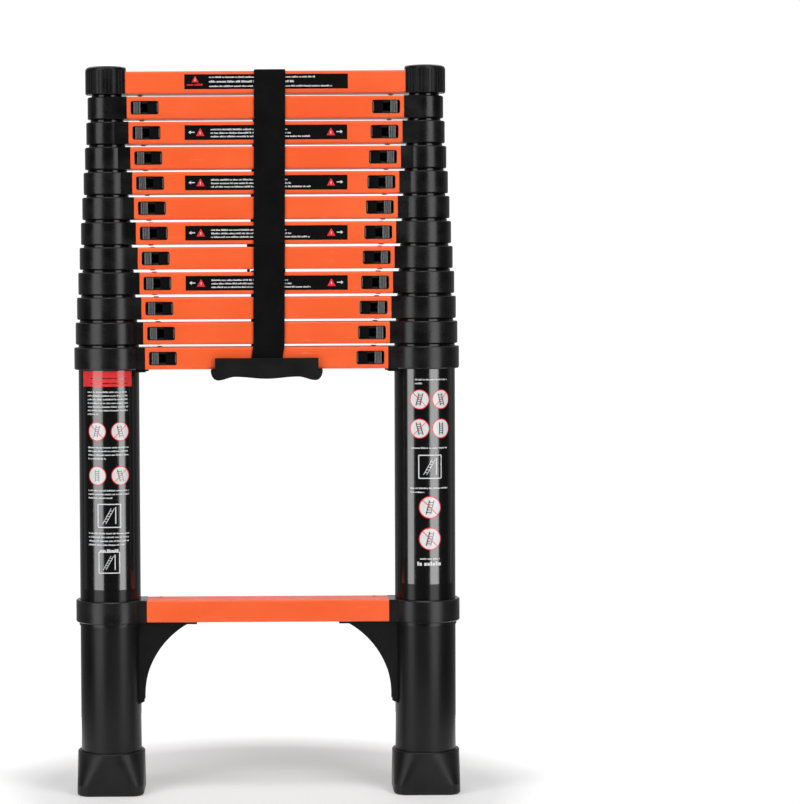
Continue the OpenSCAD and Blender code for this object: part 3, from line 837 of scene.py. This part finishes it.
def make_webbing():
    low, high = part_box("strap")
    width = high.x - low.x
    front = (low.y + high.y) / 2 - (high.y - 0.9 * MM)
    back = high.y - 0.9 * MM
    crown = high.z - 0.9 * MM
    bend = 5 * MM
    plug_low, plug_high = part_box("buckle_plug")
    bar_low, bar_high = plug_high.z - 4.5 * MM, plug_high.z
    frame_out = plug_low.y + 4 * MM
    fold = back + WEB_THICK + 0.2 * MM
    points = [(front, low.z + 0.5 * MM), (front, crown - bend)]
    points += arc((front + bend, crown - bend), bend, 180, 90, 10)
    points += arc((back - bend, crown - bend), bend, 90, 0, 10)
    points += bar_loop(back, frame_out, fold, bar_low, bar_high, bar_high + 40 * MM, 1)
    webbing("webbing_strap", points, width, "section_13", "strap")
    sewn_y, sewn_half = fold + WEB_THICK / 2, width / 2 - 5 * MM
    stitches("strap_stitching", sewn_y, bar_high + 12 * MM, bar_high + 36 * MM, sewn_half, "section_13")

    tail_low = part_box("strap_lower")[0]
    socket_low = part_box("buckle_socket")[0].z
    points = [(back, tail_low.z + 0.5 * MM)]
    points += bar_loop(back, frame_out, fold, socket_low + 4.5 * MM, socket_low, socket_low - 40 * MM, -1)
    webbing("webbing_tail", points, width, "base", "strap_lower")
    stitches("tail_stitching", sewn_y, socket_low - 36 * MM, socket_low - 12 * MM, sewn_half, "base")


# ---- Stage ----


def make_floor():
    """A pale disc under the ladder that glows towards its rim, where it meets the white backdrop: painted
    light, with the dimmer glow near the feet as painted shade.
    """
    count, below = 96, 0.2 * MM
    turns = [2 * math.pi * i / count for i in range(count)]
    rim = [(FLOOR_R * math.cos(a), FLOOR_R * math.sin(a), -below) for a in turns]
    mesh = bpy.data.meshes.new("floor")
    mesh.from_pydata(rim, [], [list(range(count))])
    floor = bpy.data.objects.new("floor", mesh)
    bpy.context.scene.collection.objects.link(floor)
    look = Look("floor_pale", {"Base Color": (0.7, 0.7, 0.7), "Roughness": 0.9, "Specular IOR Level": 0.1,
                               "Emission Color": (1.0, 1.0, 1.0)})
    reach = look.radius(look.axis("X"), look.axis("Y"))
    # Painted light: the emission rises from the feet to the rim, and its low middle stands for the shade
    # round the feet.
    glow = look.remap(reach, 0.27, FLOOR_R - 0.06, 0.2, 1.1)
    look.put(look.surface.inputs["Emission Strength"], glow)
    mesh.materials.append(look.material)


def make_world():
    """White where the camera looks. For light and reflections it is a dim studio with a bright backdrop."""
    world = bpy.data.worlds.new("studio")
    world.use_nodes = True
    bpy.context.scene.world = world
    tree = world.node_tree
    background = tree.nodes["Background"]
    background.inputs["Color"].default_value = (1.0, 1.0, 1.0, 1.0)
    direction = tree.nodes.new("ShaderNodeTexCoord")
    split = tree.nodes.new("ShaderNodeSeparateXYZ")
    tree.links.new(direction.outputs["Generated"], split.inputs[0])

    def ramp(axis, values):
        node = tree.nodes.new("ShaderNodeMapRange")
        tree.links.new(split.outputs[axis], node.inputs["Value"])
        for socket, value in zip(("From Min", "From Max", "To Min", "To Max"), values):
            node.inputs[socket].default_value = value
        return node.outputs[0]

    def add(first, second):
        node = tree.nodes.new("ShaderNodeMath")
        tree.links.new(first, node.inputs[0])
        tree.links.new(second, node.inputs[1])
        return node.outputs[0]

    studio = add(add(ramp("Y", (0.0, 0.9, 0.03, 0.35)), ramp("Y", (0.96, 0.99, 0.0, 0.65))),
                 ramp("Z", (0.3, 1.0, 0.0, 0.3)))
    rays = tree.nodes.new("ShaderNodeLightPath")
    choose = tree.nodes.new("ShaderNodeMix")
    tree.links.new(rays.outputs["Is Camera Ray"], choose.inputs[0])
    tree.links.new(studio, choose.inputs[2])
    choose.inputs[3].default_value = 1.05
    tree.links.new(choose.outputs[0], background.inputs["Strength"])


def make_light(name, x, y, z, wide, tall, radiance, aim):
    """A softbox at (x, y, z) that faces a point and is itself unseen."""
    light = bpy.data.lights.new(name, "AREA")
    light.shape = "RECTANGLE"
    light.size, light.size_y = wide, tall
    light.energy = radiance * math.pi * wide * tall
    lamp = bpy.data.objects.new(name, light)
    bpy.context.scene.collection.objects.link(lamp)
    lamp.location = (x, y, z)
    lamp.visible_camera = False
    lamp.rotation_euler = (Vector(aim) - lamp.location).to_track_quat("-Z", "Y").to_euler()


def make_camera():
    """A view from just above the fifth rung, tilted down, rolled slightly, with the ladder at the left."""
    data = bpy.data.cameras.new("camera")
    camera = bpy.data.objects.new("camera", data)
    bpy.context.scene.collection.objects.link(camera)
    data.sensor_width = 36.0
    data.sensor_fit = "HORIZONTAL"
    data.lens = 117.5
    data.shift_x = 0.1672
    data.shift_y = -0.030
    camera.location = (0.0, -3.1, 0.617)
    camera.rotation_mode = "XYZ"
    camera.rotation_euler = (math.radians(90 - 2.3), math.radians(0.3), 0.0)
    bpy.context.scene.camera = camera


paint_frame()
draw = random.Random(7)
top_sticker(draw)
for k in (11, 9, 7, 5):
    rung_sticker(k, draw)
for side in ("left", "right"):
    leg_sticker(side, draw)
for k in range(2, TOP):
    arch_marks(k)
    slot_trims(k)
handle_ribs()
make_webbing()

make_floor()
make_world()
make_light("softbox_left", -0.6, -0.5, 2.02, 0.42, 4.0, 2.8, (0, 0, 2.02))
make_light("softbox_right", 0.56, -0.62, 2.02, 0.42, 4.0, 3.3, (0, 0, 2.02))
make_light("softbox_top", 0.0, -1.0, 4.6, 1.6, 1.2, 4.0, (0, 0, 0.4))
make_light("softbox_back", 0.0, 2.0, 2.2, 2.0, 1.2, 1.5, (0, 0, 0.4))
make_camera()
scene = bpy.context.scene
scene.view_settings.view_transform = "Standard"
